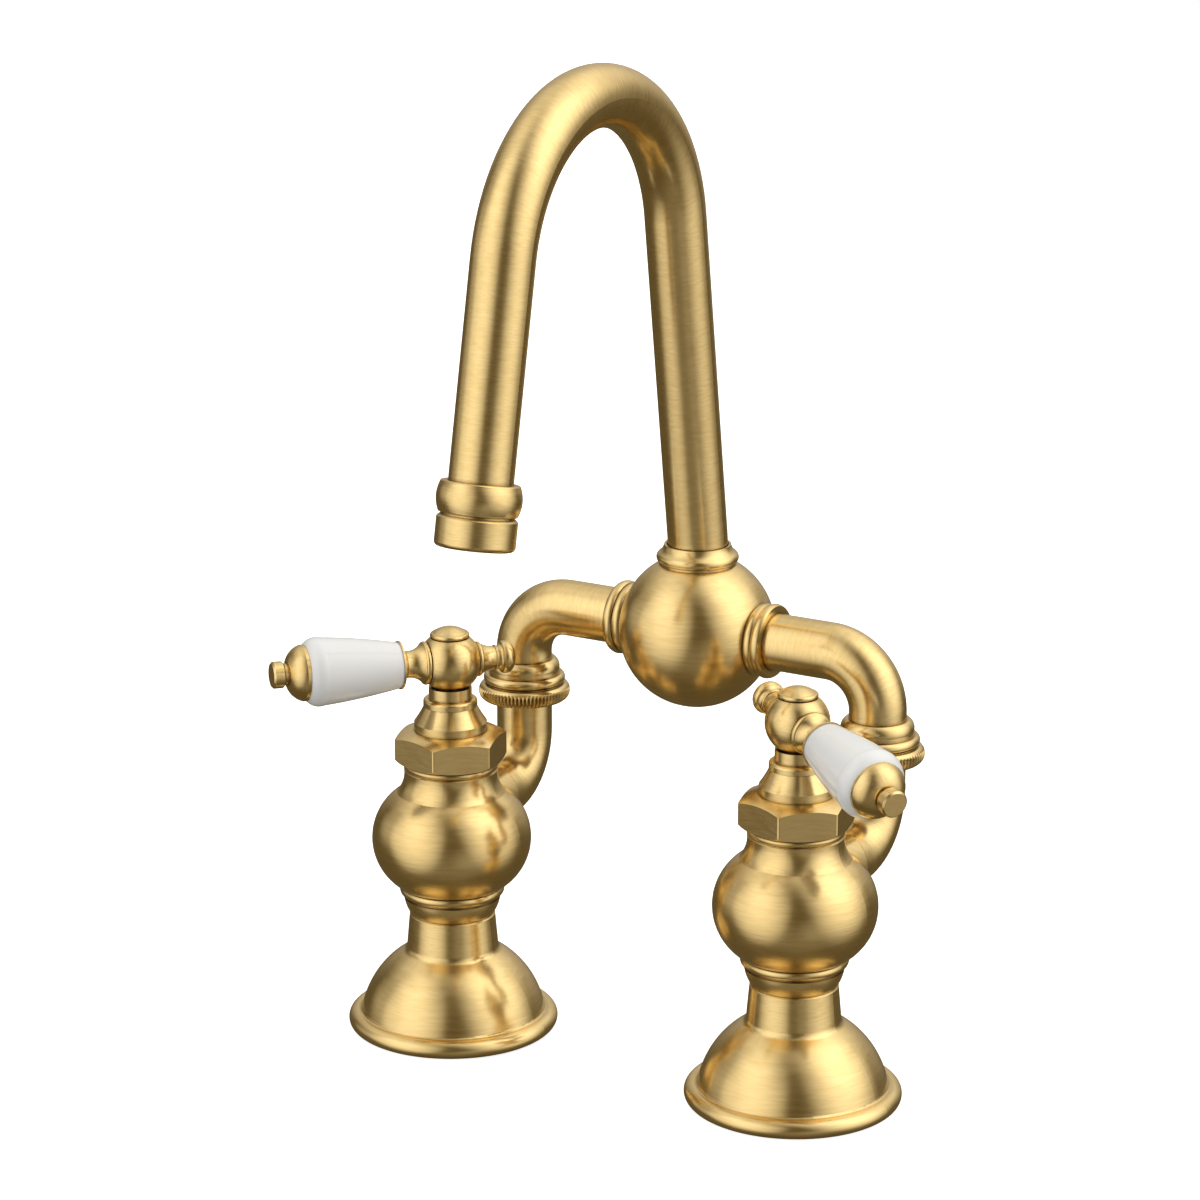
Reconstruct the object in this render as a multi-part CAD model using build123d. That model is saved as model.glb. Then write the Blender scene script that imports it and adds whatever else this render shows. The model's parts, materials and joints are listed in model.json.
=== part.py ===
from build123d import *
import math
import os

# Bridge bathroom faucet: two legs, each with its valve, hold a bridge with a turning
# gooseneck spout. Lengths are millimetres and angles degrees. The origin is on the deck,
# midway between the two inlets; +X is to the user's right, -Y to the user, +Z up.

# Layout
INLET_CENTRES = 117.4
LEG_REACH = 45.5          # valve axis to union axis
LEG_TOE = 2.9             # how far each leg turns in from square
LEFT_LEVER_TURN = 50.0    # forward from straight out, as the levers stand closed
RIGHT_LEVER_TURN = 32.0
LEFT_LEVER_DROOP = -1.0
RIGHT_LEVER_DROOP = 9.0

# Fits
RUNNING_FIT = 0.05        # radial, spindles and swivels
SPOUT_FIT = 0.08          # radial, spout foot
SOCKET_FIT = 0.05         # radial, soldered sockets and threads
PIPE_GAP = 0.3            # radial, round a pipe that turns in its nut
FACE_GAP = 0.05           # between faces that turn on each other
DISC_GAP = 0.02           # lapped ceramic faces
HANDLE_GAP = 0.3          # handle ball above its sleeve

# Base bell
RIM_BEAD_R = 2.75
FLANGE_R = 31.75
BEAD_LEDGE = 3.4          # dome in from the flange edge
DOME_SINK = 0.05          # dome centre below the deck
BEAD_COVE_R = 0.9         # hollow between the bead and the dome
BELL_WALL = 1.8
BELL_NECK_R = 13.8
BELL_TOP_R = 12.95
BELL_FILLET = 2.6         # hollow between the dome and the neck
BELL_HEIGHT = 36.2
BELL_CHAMFER = 0.4
BELL_FOOT_HEIGHT = 3.0
GASKET_EDGE = 1.5         # gasket in from the foot of the bead
GASKET_WIDTH = 4.0
GASKET_LAND = 1.0         # between the gasket and the bore of the foot
GASKET_HEIGHT = 1.5

# Valve body
TAIL_R = 11.4
TAIL_PLAY = 0.3           # radial, valve tail in the bell neck
INLET_R = 9.3             # minor radius of the half inch inlet thread
INLET_DEPTH = 15.0
WATERWAY_R = 6.0
COLLAR_FOOT_R = 12.5
COLLAR_R = 14.6
COLLAR_CROWN = 0.35
COLLAR_HEIGHT = 5.3
GROOVE_R = 13.9
GROOVE_HEIGHT = 0.7
RING_R = 15.8
RING_FOOT_R = 14.6
RING_HEIGHT = 3.2
BULB_R = 23.95
BULB_ARC_R = 17.5         # radius of the bulb's outline
BULB_RISE = 14.6          # ring top to the widest place of the bulb
BULB_TOP_RISE = 14.5      # widest place to the foot of the neck
NECK_R = 14.1
NECK_HEIGHT = 7.5
NECK_HOLLOW = 0.75
NECK_CHAMFER = 0.4
SEAT_DROP = 10.0          # cartridge seat below the widest place
CHAMBER_R = 9.6
BONNET_THREAD_R = 10.5
BONNET_THREAD_DEPTH = 7.6
PORT_RISE = 6.0           # rear port above the widest place
PORT_R = 7.0
PORT_SEAT = 14.0          # valve axis to the end of the tail pipe
BOSS_R = 10.0
BOSS_REACH = 24.8
BOSS_FILLET = 0.8

# Pipes and unions
PIPE_R = 8.5
PIPE_BORE_R = 7.0
PIPE_BEND_R = 16.0
TAIL_RISE = 9.6           # tail pipe bend to the underside of the union nut
UNION_NUT_R = 14.1
UNION_NUT_EDGE_R = 12.7
UNION_NUT_HEIGHT = 4.9
UNION_LIP = 1.2
UNION_THREAD_R = 11.9
UNION_SOCKET_R = 10.2
FLANGE_THICK = 1.5
UNION_WASHER_THICK = 1.5
UNION_WASHER_BORE_R = 7.2
COLLAR_GAP = 0.3          # nut top to the union collar
COLLAR_WEB = 1.1
UNION_RING_R = 12.55
UNION_RING_EDGE_R = 11.65
UNION_RING_HEIGHT = 2.9
UNION_STEP_R = 10.8
UNION_STEP_HEIGHT = 1.3
UNION_TOP_R = 9.4
UNION_TOP_HEIGHT = 3.4
UNION_TOP_CROWN = 0.6
ELBOW_DROP = 2.1          # elbow bend to the top of the union collar

# Bonnet, cartridge and sleeve
BONNET_RING_R = 14.3
BONNET_RING_EDGE_R = 13.6
BONNET_RING_HEIGHT = 2.1
HEX_CORNER_R = 17.2
HEX_EDGE_R = 0.8          # rounding of the upright edges
HEX_HEIGHT = 9.9
HEX_FOOT_R = 14.4
HEX_FOOT_CHAMFER = 1.6
HEX_TOP_R = 11.2
HEX_TOP_CHAMFER = 2.3
HEX_CROWN = 0.3
HEX_TURN_LEFT = 15.0
HEX_TURN_RIGHT = 11.0
BARREL_PLAY = 0.2
BARREL_R = 7.3
SLEEVE_GRIP = 4.5
SLEEVE_BASE_R = 10.9
SLEEVE_BASE_HEIGHT = 2.5
SLEEVE_WAIST_R = 7.9
SLEEVE_FLARE_HEIGHT = 5.1
SLEEVE_HOLLOW = 0.15
SLEEVE_RING_R = 8.1
SLEEVE_RING_TOP_R = 7.4
SLEEVE_RING_EDGE = 0.8
SLEEVE_RING_HEIGHT = 2.2
SLEEVE_NECK_R = 6.45
SLEEVE_HEIGHT = 13.3
CARTRIDGE_WALL = 0.9
SEAL_THICK = 2.0
SEAL_BORE_R = 6.2
DISC_THICK = 3.0
DISC_PORT_R = 2.3
DISC_PORT_OFFSET = 4.3
CARRIER_HEIGHT = 3.0
CARRIER_WIDTH = 5.0
KEY_WIDTH = 2.4
KEY_DEPTH = 1.2
WINDOW_WIDTH = 9.0
WINDOW_HEIGHT = 8.0
CAGE_HEIGHT = 18.0
SPINDLE_R = 4.0
TANG_ACROSS = 6.4
TANG_HEIGHT = 4.3

# Handle
HUB_R = 9.4
HUB_FLAT = 7.5            # hub centre to its flat foot
BUTTON_SEAT = 7.4         # hub centre to the button
BUTTON_R = 5.9
BUTTON_EDGE = 1.6
BUTTON_CROWN = 1.7
BUTTON_SPIGOT = 1.6
POCKET_R = 3.8
POCKET_FLOOR = 3.1        # hub centre to the screw head
SCREW_R = 2.0
SCREW_PLAY = 0.2
SCREW_HEAD_R = 3.4
SCREW_HEAD_HEIGHT = 2.2
SCREW_GRIP = 7.0
SCREW_DRIVE_R = 1.6
FERRULE_SEAT = 7.0
FERRULE_R = 6.5
FERRULE_RIM = 1.8
FERRULE_WAIST_R = 4.1
FERRULE_WAIST = 6.9       # seat to the waist
FERRULE_LENGTH = 9.0
FERRULE_LIP_R = 7.2
FERRULE_CUP = 0.6
FERRULE_HOLLOW = 0.7
FERRULE_FLARE = 0.3       # hollow between the waist and the lip
ROD_R = 2.0
ROD_START = 3.0
PORCELAIN_BORE_R = 2.6
PORCELAIN_R = 6.85
PORCELAIN_WIDE_R = 10.15
PORCELAIN_TAPER = 24.3
PORCELAIN_CROWN = 0.35
PORCELAIN_END_R = 8.2
PORCELAIN_SHOULDER = 5.0
PORCELAIN_SHOULDER_CROWN = 0.9
CAP_R = 8.4
CAP_RIM = 1.0
CAP_DOME = 4.6
CAP_DOME_CROWN = 1.0
CAP_NECK_R = 3.25
CAP_NECK = 0.9
CAP_BUTTON_R = 4.0
CAP_BUTTON = 3.6
CAP_EDGE = 0.5
CAP_BLIND = 4.5
FINIAL_SEAT = 7.7
FINIAL_RING_R = 5.25
FINIAL_RING = 1.7
FINIAL_NECK_R = 3.5
FINIAL_NECK = 4.2
FINIAL_HOLLOW = 0.3
FINIAL_BEAD_R = 3.85
FINIAL_BEAD = 0.8
KNOB_R = 4.95
KNOB_EDGE_R = 2.4
KNOB_HALF = 3.1           # knob's middle to its end
KNOB_RISE = 2.7           # bead to the knob's middle
KNOB_FLARE = 0.3          # hollow between the bead and the knob

# Ball and spout
BALL_R = 23.45
BALL_WALL = 3.2
BALL_BOSS_R = 12.6
ARM_RING_R = 10.9         # collars where the bridge's arms enter the ball
ARM_RING = 2.7
ARM_NOSE_R = 11.2
ARM_NOSE = 2.8
ARM_EDGE = 0.5
ARM_LIFT = 0.4            # ring's inner face beyond where its edge would meet the ball
SPOUT_R = 9.0
SPOUT_BORE_R = 7.5
FOOT_BORE_R = 5.5
COLLAR_SINK = 0.75        # spout collar's foot below where its edge would meet the ball
SPOUT_COLLAR_BASE_R = 11.5
SPOUT_COLLAR_BASE = 1.4
SPOUT_COLLAR_R = 12.3
SPOUT_COLLAR_BEAD = 2.9
SPOUT_COLLAR_LIP_R = 10.0
SPOUT_COLLAR_SLOPE = 2.5
SPOUT_COLLAR_HOLLOW = 0.3
GLAND_THREAD_R = 10.6
GLAND_DEPTH = 5.6
GLAND_GRIP = 3.8
CLIP_R = 10.2
CLIP_BITE = 0.9
CLIP_THICK = 1.5
CLIP_PLAY = 0.15
ORING_R = 1.0
ORING_FIRST = 3.1         # gland floor to the upper ring
ORING_PITCH = 4.0
FOOT_LENGTH = 10.1        # gland floor to the end of the foot
BOSS_LENGTH = 12.6        # gland floor to the end of the ball's boss
SPOUT_FOOT_BEND_R = 20.0
SPOUT_LEAN = 8.17
SPOUT_RISE = 99.52
SPOUT_ARC_R = 47.26
OUTLET_SPLAY = 11.43
OUTLET_LENGTH = 78.55

# Aerator
AERATOR_COLLAR_R = 11.85
AERATOR_COLLAR = 8.8
AERATOR_COLLAR_EDGE_R = 11.1
AERATOR_SHOULDER = 0.6
AERATOR_GROOVE = 0.6
HOUSING_R = 11.2
HOUSING_HEIGHT = 8.8
HOUSING_CHAMFER = 0.6
HOUSING_EDGE = 1.2
HOUSING_BORE_R = 9.3
HOUSING_LIP_R = 8.2
HOUSING_LIP = 1.35
HOUSING_THREAD_R = 10.2
HOUSING_THREAD = 3.25
SPOUT_SEAT = 3.85         # spout end inside the aerator collar
SPOUT_STOP = 0.5
AERATOR_WASHER_THICK = 1.6
INSERT_WALL = 1.1
INSERT_PLATE = 2.0
JET_R = 0.8
JET_PITCH = 3.4
JET_RINGS = 2

# Radii, heights and places that follow
DOME_R = FLANGE_R - BEAD_LEDGE
GASKET_OUT_R = FLANGE_R - RIM_BEAD_R - GASKET_EDGE
GASKET_IN_R = GASKET_OUT_R - GASKET_WIDTH
BELL_FOOT_BORE_R = GASKET_IN_R - GASKET_LAND
BULB_Z = BELL_HEIGHT + COLLAR_HEIGHT + GROOVE_HEIGHT + RING_HEIGHT + BULB_RISE
NECK_TOP_Z = BULB_Z + BULB_TOP_RISE + NECK_HEIGHT
SEAT_Z = BULB_Z - SEAT_DROP
PORT_Z = BULB_Z + PORT_RISE
HEX_Z = NECK_TOP_Z + BONNET_RING_HEIGHT
SLEEVE_Z = HEX_Z + HEX_HEIGHT
HUB_Z = SLEEVE_Z + SLEEVE_HEIGHT + HANDLE_GAP + HUB_FLAT
DISC_Z = SEAT_Z + SEAL_THICK
MOVING_DISC_Z = DISC_Z + DISC_THICK + DISC_GAP
CARRIER_Z = MOVING_DISC_Z + DISC_THICK
CAGE_TOP_Z = DISC_Z + CAGE_HEIGHT
SHOULDER_Z = NECK_TOP_Z - BONNET_THREAD_DEPTH
UNION_Z = PORT_Z + PIPE_BEND_R + TAIL_RISE
FLANGE_Z = UNION_Z + UNION_LIP + FACE_GAP
UNION_WASHER_Z = FLANGE_Z + FLANGE_THICK + FACE_GAP
UNION_SOCKET_Z = UNION_WASHER_Z + UNION_WASHER_THICK
UNION_COLLAR_Z = UNION_Z + UNION_NUT_HEIGHT + COLLAR_GAP
ELBOW_END_Z = UNION_SOCKET_Z + COLLAR_WEB
UNION_TOP_Z = UNION_COLLAR_Z + UNION_RING_HEIGHT + UNION_STEP_HEIGHT + UNION_TOP_HEIGHT
BRIDGE_Z = UNION_TOP_Z + ELBOW_DROP + PIPE_BEND_R
ARM_SEAT = math.sqrt(BALL_R**2 - ARM_RING_R**2) + ARM_LIFT
COLLAR_SEAT = math.sqrt(BALL_R**2 - SPOUT_COLLAR_BASE_R**2) - COLLAR_SINK
COLLAR_Z = BRIDGE_Z + COLLAR_SEAT
GLAND_Z = COLLAR_Z - GLAND_DEPTH
VALVE_X = INLET_CENTRES / 2
UNION_X = VALVE_X + LEG_REACH * math.sin(math.radians(LEG_TOE))
BRIDGE_Y = LEG_REACH * math.cos(math.radians(LEG_TOE))
CAGE_BORE_R = CHAMBER_R - BARREL_PLAY - CARTRIDGE_WALL
AERATOR_Z = OUTLET_LENGTH - HOUSING_HEIGHT - AERATOR_GROOVE - AERATOR_COLLAR
HOUSING_Z = OUTLET_LENGTH - HOUSING_HEIGHT
AERATOR_WASHER_Z = AERATOR_Z + SPOUT_SEAT + SPOUT_STOP
INSERT_Z = AERATOR_WASHER_Z + AERATOR_WASHER_THICK
PORCELAIN_Z = FERRULE_SEAT + FERRULE_LENGTH - FERRULE_CUP
CAP_Z = PORCELAIN_Z + PORCELAIN_TAPER + PORCELAIN_SHOULDER
TANG_TOP_Z = HUB_Z - HUB_FLAT + TANG_HEIGHT



def turned(*stations):
    """Turn a closed outline about Z.

    A station is (radius, z), reached in a straight line, (radius, z, bulge), reached by an
    arc that stands out of the metal by the bulge or into it where that is negative, or an
    edge. The outline keeps the metal on its left.
    """
    edges = []
    first = last = None
    for station in stations:
        if isinstance(station, Edge):
            start, end = station @ 0, station @ 1
        else:
            start = end = Vector(station[0], station[1])
        if last is None:
            first = start
        elif isinstance(station, tuple) and len(station) == 3:
            edges.append(SagittaArc(last, end, -station[2]).edge())
        elif (start - last).length > 1e-6:
            edges.append(Line(last, start).edge())
        if isinstance(station, Edge):
            edges.append(station)
        last = end
    edges.append(Line(last, first).edge())
    outline = Plane.XZ * make_face(Wire(edges))
    return revolve(outline, Axis.Z)


def arc_between(radius, centre_z, low_z, high_z, centre_r=0):
    """Outer stretch of a circle round (centre_r, centre_z), from one height up to another."""
    low = math.degrees(math.asin((low_z - centre_z) / radius))
    high = math.degrees(math.asin((high_z - centre_z) / radius))
    return CenterArc((centre_r, centre_z), radius, low, high - low).edge()


def cap(radius, centre_z, low_z):
    """Outer stretch of a circle round (0, centre_z), from one height up to the axis."""
    low_r = math.sqrt(radius**2 - (low_z - centre_z) ** 2)
    return RadiusArc((low_r, low_z), (0, centre_z + radius), -radius).edge()


def tube(inner, outer, low, high):
    """Plain ring about Z between two heights."""
    return turned((inner, low), (outer, low), (outer, high), (inner, high))


def rod(radius, low, high):
    """Plain cylinder about Z between two heights."""
    return turned((0, low), (radius, low), (radius, high), (0, high))


def swept(path, outer, inner):
    """Pipe along a path."""
    section = Plane(origin=path @ 0, z_dir=path % 0) * (Circle(outer) - Circle(inner))
    return sweep(section, path=path)


def bearing(centre, point):
    """Direction from one point of an outline to another, in degrees."""
    away = point - centre
    return math.degrees(math.atan2(away.Y, away.X))


def cove(centre, radius, start, end):
    """Hollow arc round a centre, from facing one point to facing another."""
    first = bearing(centre, start)
    return CenterArc(centre, radius, first, -((first - bearing(centre, end)) % 360)).edge()


def above_both(low, low_reach, far, far_reach):
    """Point at the given distances from two centres, on the left from the first to the second."""
    span = (far - low).length
    along = (low_reach**2 - far_reach**2 + span**2) / (2 * span)
    towards = (far - low) / span
    aside = Vector(-towards.Y, towards.X) * math.sqrt(low_reach**2 - along**2)
    return low + towards * along + aside


def base_bell():
    """Domed base: beaded flange, thin dome and neck, joined by hollow arcs."""
    middle = Vector(0, -DOME_SINK)
    bead = Vector(FLANGE_R - RIM_BEAD_R, RIM_BEAD_R)
    foot = above_both(middle, DOME_R + BEAD_COVE_R, bead, RIM_BEAD_R + BEAD_COVE_R)
    waist_r = BELL_NECK_R + BELL_FILLET
    waist_z = math.sqrt((DOME_R + BELL_FILLET) ** 2 - waist_r**2) - DOME_SINK
    waist = Vector(waist_r, waist_z)
    rim = CenterArc(bead, RIM_BEAD_R, -90, 90 + bearing(bead, foot)).edge()
    bead_cove = cove(foot, BEAD_COVE_R, bead, middle)
    neck_cove = cove(waist, BELL_FILLET, middle, Vector(0, waist_z))
    dome = arc_between(DOME_R, -DOME_SINK, (bead_cove @ 1).Y, (neck_cove @ 0).Y)
    bore_r = TAIL_R + TAIL_PLAY
    inner_r = DOME_R - BELL_WALL
    inner_top_z = math.sqrt(inner_r**2 - bore_r**2) - DOME_SINK
    inside = arc_between(inner_r, -DOME_SINK, BELL_FOOT_HEIGHT, inner_top_z)
    shell = turned(
        (0, 0),
        rim,
        bead_cove,
        dome,
        neck_cove,
        (BELL_TOP_R, BELL_HEIGHT - BELL_CHAMFER),
        (BELL_TOP_R - BELL_CHAMFER, BELL_HEIGHT),
        (0, BELL_HEIGHT),
    )
    hollow = turned(
        (0, -BELL_FOOT_HEIGHT),
        (BELL_FOOT_BORE_R, -BELL_FOOT_HEIGHT),
        (BELL_FOOT_BORE_R, BELL_FOOT_HEIGHT),
        inside,
        (bore_r, 2 * BELL_HEIGHT),
        (0, 2 * BELL_HEIGHT),
    )
    return shell - hollow - tube(GASKET_IN_R, GASKET_OUT_R, -GASKET_HEIGHT, GASKET_HEIGHT)


def deck_gasket():
    """Flat ring in the groove under the flange."""
    return tube(GASKET_IN_R, GASKET_OUT_R, 0, GASKET_HEIGHT)


def valve_body():
    """Tail, two-ring collar, bulb and neck, bored for the inlet, cartridge and rear port."""
    collar_z = BELL_HEIGHT + COLLAR_HEIGHT
    ring_z = collar_z + GROOVE_HEIGHT
    bulb_low_z = ring_z + RING_HEIGHT
    neck_z = BULB_Z + BULB_TOP_RISE
    bulb = arc_between(BULB_ARC_R, BULB_Z, bulb_low_z, neck_z, BULB_R - BULB_ARC_R)
    body = turned(
        (INLET_R, 0),
        (TAIL_R, 0),
        (TAIL_R, BELL_HEIGHT),
        (COLLAR_FOOT_R, BELL_HEIGHT),
        (COLLAR_R, collar_z, COLLAR_CROWN),
        (GROOVE_R, collar_z),
        (GROOVE_R, ring_z),
        (RING_FOOT_R, ring_z),
        (RING_FOOT_R, bulb_low_z, RING_R - RING_FOOT_R),
        bulb,
        (NECK_R, NECK_TOP_Z - NECK_CHAMFER, -NECK_HOLLOW),
        (NECK_R - NECK_CHAMFER, NECK_TOP_Z),
        (BONNET_THREAD_R, NECK_TOP_Z),
        (BONNET_THREAD_R, SHOULDER_Z),
        (CHAMBER_R, SHOULDER_Z),
        (CHAMBER_R, SEAT_Z),
        (WATERWAY_R, SEAT_Z),
        (WATERWAY_R, INLET_DEPTH),
        (INLET_R, INLET_DEPTH),
    )
    backward = Pos(0, 0, PORT_Z) * Rot(-90, 0, 0)
    boss = backward * rod(BOSS_R, PORT_SEAT, BOSS_REACH)
    boss = fillet(boss.edges().sort_by(Axis.Y)[-1], BOSS_FILLET)
    socket = backward * rod(PIPE_R + SOCKET_FIT, PORT_SEAT, 2 * BOSS_REACH)
    port = backward * rod(PORT_R, 0, PORT_SEAT)
    chamber = rod(CHAMBER_R, SEAT_Z, SHOULDER_Z)
    return body + (boss - chamber) - socket - (port - chamber)


def tail_pipe():
    """Pipe from the back of the bulb up to the union, with its flange."""
    path = FilletPolyline(
        (0, PORT_SEAT, PORT_Z),
        (0, LEG_REACH, PORT_Z),
        (0, LEG_REACH, FLANGE_Z + FLANGE_THICK),
        radius=PIPE_BEND_R,
    )
    flange_r = UNION_SOCKET_R - RUNNING_FIT
    flange = tube(PIPE_BORE_R, flange_r, FLANGE_Z, FLANGE_Z + FLANGE_THICK)
    return swept(path, PIPE_R, PIPE_BORE_R) + Pos(0, LEG_REACH, 0) * flange


def bonnet_ring():
    """Bead between the neck and the hexagon."""
    return turned(
        (BONNET_THREAD_R, NECK_TOP_Z),
        (BONNET_RING_EDGE_R, NECK_TOP_Z),
        (BONNET_RING_EDGE_R, HEX_Z, BONNET_RING_R - BONNET_RING_EDGE_R),
        (BONNET_THREAD_R, HEX_Z),
    )


def hex_bonnet_nut(hex_turn):
    """Hexagon with domed ends and a threaded spigot that clamps the cartridge."""
    top_z = HEX_Z + HEX_HEIGHT
    prism = extrude(
        Plane.XY.offset(HEX_Z) * RegularPolygon(HEX_CORNER_R, 6), HEX_HEIGHT
    )
    prism = fillet(prism.edges().filter_by(Axis.Z), HEX_EDGE_R)
    crown = turned(
        (0, HEX_Z),
        (HEX_FOOT_R, HEX_Z),
        (HEX_CORNER_R, HEX_Z + HEX_FOOT_CHAMFER, HEX_CROWN),
        (HEX_CORNER_R, top_z - HEX_TOP_CHAMFER),
        (HEX_TOP_R, top_z, HEX_CROWN),
        (0, top_z),
    )
    head = Rot(0, 0, hex_turn - 90) * prism & crown
    spigot_r = BONNET_THREAD_R - SOCKET_FIT
    spigot = rod(spigot_r, SHOULDER_Z, HEX_Z)
    bore = rod(BARREL_R + SOCKET_FIT, SHOULDER_Z, top_z)
    return head + spigot - bore


def bonnet_sleeve():
    """Flared sleeve over the cartridge barrel, with a ring and a plain neck."""
    base_z = SLEEVE_Z + SLEEVE_BASE_HEIGHT
    ring_z = base_z + SLEEVE_FLARE_HEIGHT
    ring_top_z = ring_z + SLEEVE_RING_HEIGHT
    grip_z = SLEEVE_Z + SLEEVE_GRIP + SOCKET_FIT
    return turned(
        (BARREL_R + SOCKET_FIT, SLEEVE_Z),
        (SLEEVE_BASE_R, SLEEVE_Z),
        (SLEEVE_BASE_R, base_z),
        (SLEEVE_WAIST_R, ring_z, -SLEEVE_HOLLOW),
        (SLEEVE_RING_R, ring_z),
        (SLEEVE_RING_R, ring_top_z - SLEEVE_RING_EDGE),
        (SLEEVE_RING_TOP_R, ring_top_z, SLEEVE_RING_EDGE / 5),
        (SLEEVE_NECK_R, ring_top_z),
        (SLEEVE_NECK_R, SLEEVE_Z + SLEEVE_HEIGHT),
        (SPINDLE_R + PIPE_GAP, SLEEVE_Z + SLEEVE_HEIGHT),
        (SPINDLE_R + PIPE_GAP, grip_z),
        (BARREL_R + SOCKET_FIT, grip_z),
    )


def cartridge_body():
    """Cartridge cage with side windows, and the barrel that carries the spindle."""
    cage_r = CHAMBER_R - BARREL_PLAY
    body = turned(
        (CAGE_BORE_R, SEAT_Z),
        (cage_r, SEAT_Z),
        (cage_r, SHOULDER_Z),
        (BARREL_R, SHOULDER_Z),
        (BARREL_R, SLEEVE_Z + SLEEVE_GRIP),
        (SPINDLE_R + RUNNING_FIT, SLEEVE_Z + SLEEVE_GRIP),
        (SPINDLE_R + RUNNING_FIT, CAGE_TOP_Z),
        (CAGE_BORE_R, CAGE_TOP_Z),
    )
    window = Pos(0, 0, CARRIER_Z + WINDOW_HEIGHT / 2)
    across = window * Box(4 * cage_r, WINDOW_WIDTH, WINDOW_HEIGHT)
    along = window * Box(WINDOW_WIDTH, 4 * cage_r, WINDOW_HEIGHT)
    return body - across - along


def cartridge_seal():
    """Rubber ring between the seat and the fixed disc."""
    return tube(SEAL_BORE_R, CAGE_BORE_R - SOCKET_FIT, SEAT_Z, DISC_Z)


def disc(low_z, port_turn):
    """Ceramic disc with two ports."""
    blank = rod(CAGE_BORE_R - SOCKET_FIT, low_z, low_z + DISC_THICK)
    port = rod(DISC_PORT_R, low_z, low_z + DISC_THICK)
    across = Rot(0, 0, port_turn) * (Pos(DISC_PORT_OFFSET, 0, 0) * port)
    return blank - across - Rot(0, 0, 180) * across


def ceramic_disc_fixed():
    """Fixed ceramic disc."""
    return disc(DISC_Z, 0)


def key_bar(width):
    """Key across the carrier, for the slot in the turning disc."""
    length = 2 * (DISC_PORT_OFFSET - DISC_PORT_R)
    return Pos(0, 0, CARRIER_Z - KEY_DEPTH / 2) * Box(width, length, KEY_DEPTH)


def ceramic_disc_moving():
    """Turning ceramic disc, closed at rest, with the slot for the spindle's key."""
    return disc(MOVING_DISC_Z, 90) - key_bar(KEY_WIDTH + 2 * SOCKET_FIT)


def cartridge_spindle():
    """Spindle: carrier bar with its key, round stem, square tang and screw hole."""
    bar_r = CAGE_BORE_R - PIPE_GAP
    bar = Pos(0, 0, CARRIER_Z + CARRIER_HEIGHT / 2) * Box(2 * bar_r, CARRIER_WIDTH, CARRIER_HEIGHT)
    bar = bar & rod(bar_r, CARRIER_Z, CARRIER_Z + CARRIER_HEIGHT)
    tang_z = HUB_Z - HUB_FLAT
    stem = rod(SPINDLE_R, CARRIER_Z, TANG_TOP_Z - SOCKET_FIT)
    keep = Pos(0, 0, TANG_TOP_Z) * Box(TANG_ACROSS, TANG_ACROSS, 2 * (TANG_TOP_Z - tang_z))
    stem = rod(SPINDLE_R, CARRIER_Z, tang_z) + (rod(SPINDLE_R, tang_z, TANG_TOP_Z - SOCKET_FIT) & keep)
    hole_z = HUB_Z + POCKET_FLOOR - screw_length() - SCREW_PLAY
    hole = rod(SCREW_R + SOCKET_FIT, hole_z, TANG_TOP_Z)
    return bar + key_bar(KEY_WIDTH) + stem - hole


def screw_length():
    """Length of the handle screw under its head."""
    return HUB_Z + POCKET_FLOOR - TANG_TOP_Z + SCREW_GRIP


def handle_hub(lever, finial):
    """Ball of the handle: flat foot, square socket, screw pocket and two side seats."""
    ball = arc_between(HUB_R, HUB_Z, HUB_Z - HUB_FLAT, HUB_Z + BUTTON_SEAT)
    hub = turned((0, HUB_Z - HUB_FLAT), ball, (0, HUB_Z + BUTTON_SEAT))
    hub = hub - rod(POCKET_R, HUB_Z + POCKET_FLOOR, HUB_Z + BUTTON_SEAT)
    hub = hub - rod(SCREW_R + SCREW_PLAY, TANG_TOP_Z, HUB_Z + POCKET_FLOOR)
    across = TANG_ACROSS + 2 * SOCKET_FIT
    socket = Pos(0, 0, TANG_TOP_Z - TANG_HEIGHT / 2) * Box(across, across, TANG_HEIGHT)
    hub = hub - (socket & rod(SPINDLE_R + SOCKET_FIT, HUB_Z - HUB_FLAT, TANG_TOP_Z))
    hub = hub - lever * rod(HUB_R, FERRULE_SEAT, 2 * HUB_R)
    hub = hub - finial * rod(HUB_R, FINIAL_SEAT, 2 * HUB_R)
    hole = rod(ROD_R + SOCKET_FIT, ROD_START, 2 * HUB_R)
    return hub - lever * hole - finial * hole


def handle_screw():
    """Screw that holds the hub on the spindle, with its hexagon socket."""
    head_z = HUB_Z + POCKET_FLOOR
    top_z = head_z + SCREW_HEAD_HEIGHT
    screw = rod(SCREW_R, head_z - screw_length(), head_z) + rod(SCREW_HEAD_R, head_z, top_z)
    drive = extrude(Plane.XY.offset(head_z) * RegularPolygon(SCREW_DRIVE_R, 6), SCREW_HEAD_HEIGHT)
    return screw - Pos(0, 0, SCREW_HEAD_HEIGHT / 2) * drive


def index_button():
    """Low dome with a rounded edge, on a spigot."""
    seat_z = HUB_Z + BUTTON_SEAT
    edge_z = seat_z + BUTTON_EDGE
    rim_r = BUTTON_R - BUTTON_EDGE / 2
    dome_r = (rim_r**2 + BUTTON_CROWN**2) / (2 * BUTTON_CROWN)
    return turned(
        (0, seat_z - BUTTON_SPIGOT),
        (POCKET_R - SOCKET_FIT, seat_z - BUTTON_SPIGOT),
        (POCKET_R - SOCKET_FIT, seat_z),
        (rim_r, seat_z),
        (rim_r, edge_z, BUTTON_EDGE / 2),
        cap(dome_r, edge_z + BUTTON_CROWN - dome_r, edge_z),
    )


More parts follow.
